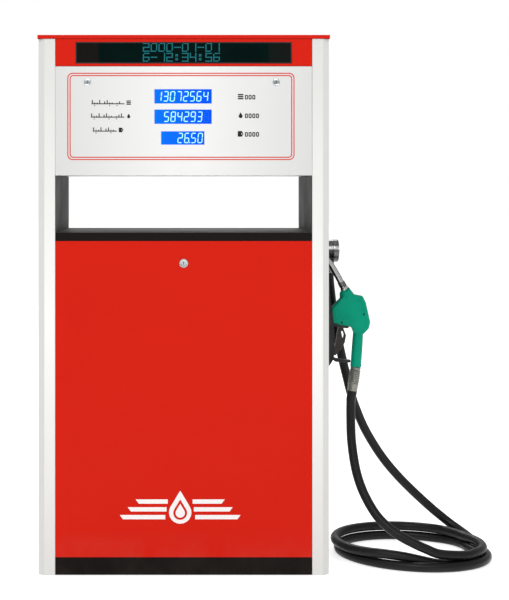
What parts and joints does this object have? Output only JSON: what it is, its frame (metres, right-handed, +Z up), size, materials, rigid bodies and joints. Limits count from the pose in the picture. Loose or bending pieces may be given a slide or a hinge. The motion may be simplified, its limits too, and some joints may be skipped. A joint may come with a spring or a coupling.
{
  "type": "fuel dispenser",
  "caption": "Upright double-sided fuel dispenser with a through opening, number displays, side holster, nozzle and hose.",
  "frame": {"origin": "centre of the cabinet's footprint on the floor, on the underside of the base frame", "axes": "+Z up, front face towards -Y, hose and holster on the +X side"},
  "size_m": [1.4675, 0.456, 1.7],
  "materials": {
    "painted_white": "satin powder coat",
    "painted_red": "satin powder coat",
    "painted_black": "semi-gloss",
    "painted_grey": "satin",
    "galvanised_sheet": "matt zinc",
    "dark_glass": "gloss",
    "number_display": "backlit, gloss",
    "circuit_board": "solder resist",
    "plated_lock": "nickel plate",
    "motor_paint": "hammered paint",
    "cast_machinery": "as cast",
    "steel_parts": "machined",
    "brass_valve": "machined",
    "black_plastic": "moulded, fine grain",
    "belt_rubber": "matt",
    "hose_rubber": "satin, fabric-marked",
    "polished_metal": "polished",
    "trigger_steel": "worn",
    "green_cover": "soft vinyl cover"
  },
  "bodies": {
    "cabinet": {"base_frame": "painted_black", "plinth_front": "painted_black", "plinth_rear": "painted_black", "post_front_left": "painted_white", "post_front_right": "painted_white", "post_rear_left": "painted_white", "post_rear_right": "painted_white", "side_panel_left": "painted_white", "side_panel_right": "painted_white", "top_cap": "painted_red", "header_band_front": "painted_red", "header_band_rear": "painted_red", "header_window_front": "dark_glass", "header_window_rear": "dark_glass", "head_floor": "galvanised_sheet", "shelf_tray": "painted_black", "cheek_left": "painted_grey", "cheek_right": "painted_grey", "computer_box": "galvanised_sheet", "motor": "motor_paint", "pump_body": "cast_machinery", "drive_belt": "belt_rubber", "flow_meter": "cast_machinery", "solenoid_valve": "brass_valve", "inlet_pipe": "steel_parts", "meter_pipe": "steel_parts", "riser_pipe": "steel_parts", "nozzle_boot": "black_plastic", "outlet_elbow": "polished_metal", "hose": "hose_rubber"},
    "head_door_front": {"head_door_front": "painted_white", "sale_display_front": "number_display", "volume_display_front": "number_display", "price_display_front": "number_display", "display_board_front": "circuit_board"},
    "lower_door_front": {"lower_door_front": "painted_red"},
    "head_door_rear": {"head_door_rear": "painted_white", "sale_display_rear": "number_display", "volume_display_rear": "number_display", "price_display_rear": "number_display", "display_board_rear": "circuit_board"},
    "lower_door_rear": {"lower_door_rear": "painted_red"},
    "head_lock_front_left": {"head_lock_front_left": "plated_lock"},
    "head_lock_front_right": {"head_lock_front_right": "plated_lock"},
    "head_lock_rear_left": {"head_lock_rear_left": "plated_lock"},
    "head_lock_rear_right": {"head_lock_rear_right": "plated_lock"},
    "door_lock_front": {"door_lock_front": "plated_lock"},
    "door_lock_rear": {"door_lock_rear": "plated_lock"},
    "nozzle": {"nozzle_body": "green_cover", "spout": "polished_metal", "trigger_guard": "black_plastic", "trigger_pin": "polished_metal"},
    "trigger": {"trigger_lever": "trigger_steel"},
    "valve_stem": {"valve_stem": "brass_valve"},
    "hose_swivel": {"hose_swivel": "steel_parts"},
    "boot_lever": {"boot_switch_lever": "steel_parts"},
    "motor_pulley": {"motor_pulley": "steel_parts"},
    "pump_pulley": {"pump_pulley": "steel_parts"},
    "pulser": {"pulser": "black_plastic"}
  },
  "joints": [
    {"name": "head_door_front_hinge", "type": "hinge", "parent": "cabinet", "child": "head_door_front", "pos_m": [0, -0.225, 1.2583], "axis": [1, 0, 0], "range_deg": [0, 85]},
    {"name": "lower_door_front_tilt", "type": "hinge", "parent": "cabinet", "child": "lower_door_front", "pos_m": [0, -0.225, 0.0573], "axis": [1, 0, 0], "range_deg": [0, 70]},
    {"name": "head_lock_front_left_turn", "type": "hinge", "parent": "head_door_front", "child": "head_lock_front_left", "pos_m": [-0.303, -0.225, 1.551], "axis": [0, -1, 0], "range_deg": [0, 90]},
    {"name": "head_lock_front_right_turn", "type": "hinge", "parent": "head_door_front", "child": "head_lock_front_right", "pos_m": [0.291, -0.225, 1.551], "axis": [0, -1, 0], "range_deg": [0, 90]},
    {"name": "door_lock_front_turn", "type": "hinge", "parent": "lower_door_front", "child": "door_lock_front", "pos_m": [0, -0.225, 0.982], "axis": [0, -1, 0], "range_deg": [0, 90]},
    {"name": "head_door_rear_hinge", "type": "hinge", "parent": "cabinet", "child": "head_door_rear", "pos_m": [0, 0.225, 1.2583], "axis": [-1, 0, 0], "range_deg": [0, 85]},
    {"name": "lower_door_rear_tilt", "type": "hinge", "parent": "cabinet", "child": "lower_door_rear", "pos_m": [0, 0.225, 0.0573], "axis": [-1, 0, 0], "range_deg": [0, 70]},
    {"name": "head_lock_rear_left_turn", "type": "hinge", "parent": "head_door_rear", "child": "head_lock_rear_left", "pos_m": [0.303, 0.225, 1.551], "axis": [0, 1, 0], "range_deg": [0, 90]},
    {"name": "head_lock_rear_right_turn", "type": "hinge", "parent": "head_door_rear", "child": "head_lock_rear_right", "pos_m": [-0.291, 0.225, 1.551], "axis": [0, 1, 0], "range_deg": [0, 90]},
    {"name": "door_lock_rear_turn", "type": "hinge", "parent": "lower_door_rear", "child": "door_lock_rear", "pos_m": [0, 0.225, 0.982], "axis": [0, 1, 0], "range_deg": [0, 90]},
    {"name": "nozzle_swing", "type": "hinge", "parent": "cabinet", "child": "nozzle", "pos_m": [0.559, 0, 0.5395], "axis": [0, 1, 0], "range_deg": [0, 35], "deforming": ["hose"]},
    {"name": "trigger_pull", "type": "hinge", "parent": "nozzle", "child": "trigger", "pos_m": [0.5225, 0, 0.7735], "axis": [0, -1, 0], "range_deg": [0, 17], "stiffness_Nm_per_rad": 0.8},
    {"name": "valve_stem_lift", "type": "slide", "parent": "nozzle", "child": "valve_stem", "axis": [0, 0, 1], "range_m": [0, 0.0055]},
    {"name": "hose_swivel_spin", "type": "hinge", "parent": "nozzle", "child": "hose_swivel", "pos_m": [0.559, 0, 0.5395], "axis": [-0.1438, 0, -0.9896], "continuous": true},
    {"name": "boot_lever_swing", "type": "hinge", "parent": "cabinet", "child": "boot_lever", "pos_m": [0.4165, 0, 0.7], "axis": [0, 1, 0], "range_deg": [0, 18]},
    {"name": "pump_spin", "type": "hinge", "parent": "cabinet", "child": "pump_pulley", "pos_m": [0.06, -0.115, 0.3], "axis": [0, 1, 0], "continuous": true},
    {"name": "motor_spin", "type": "hinge", "parent": "cabinet", "child": "motor_pulley", "pos_m": [-0.23, -0.115, 0.165], "axis": [0, 1, 0], "continuous": true},
    {"name": "pulser_spin", "type": "hinge", "parent": "cabinet", "child": "pulser", "pos_m": [0.2, 0.02, 0.612], "axis": [0, 0, 1], "continuous": true}
  ],
  "couplings": [
    {"joint": "valve_stem_lift", "follows": "trigger_pull", "m_per_rad": 0.0168},
    {"joint": "boot_lever_swing", "follows": "nozzle_swing", "ratio": 0.5},
    {"joint": "motor_spin", "follows": "pump_spin", "ratio": 2.125}
  ]
}
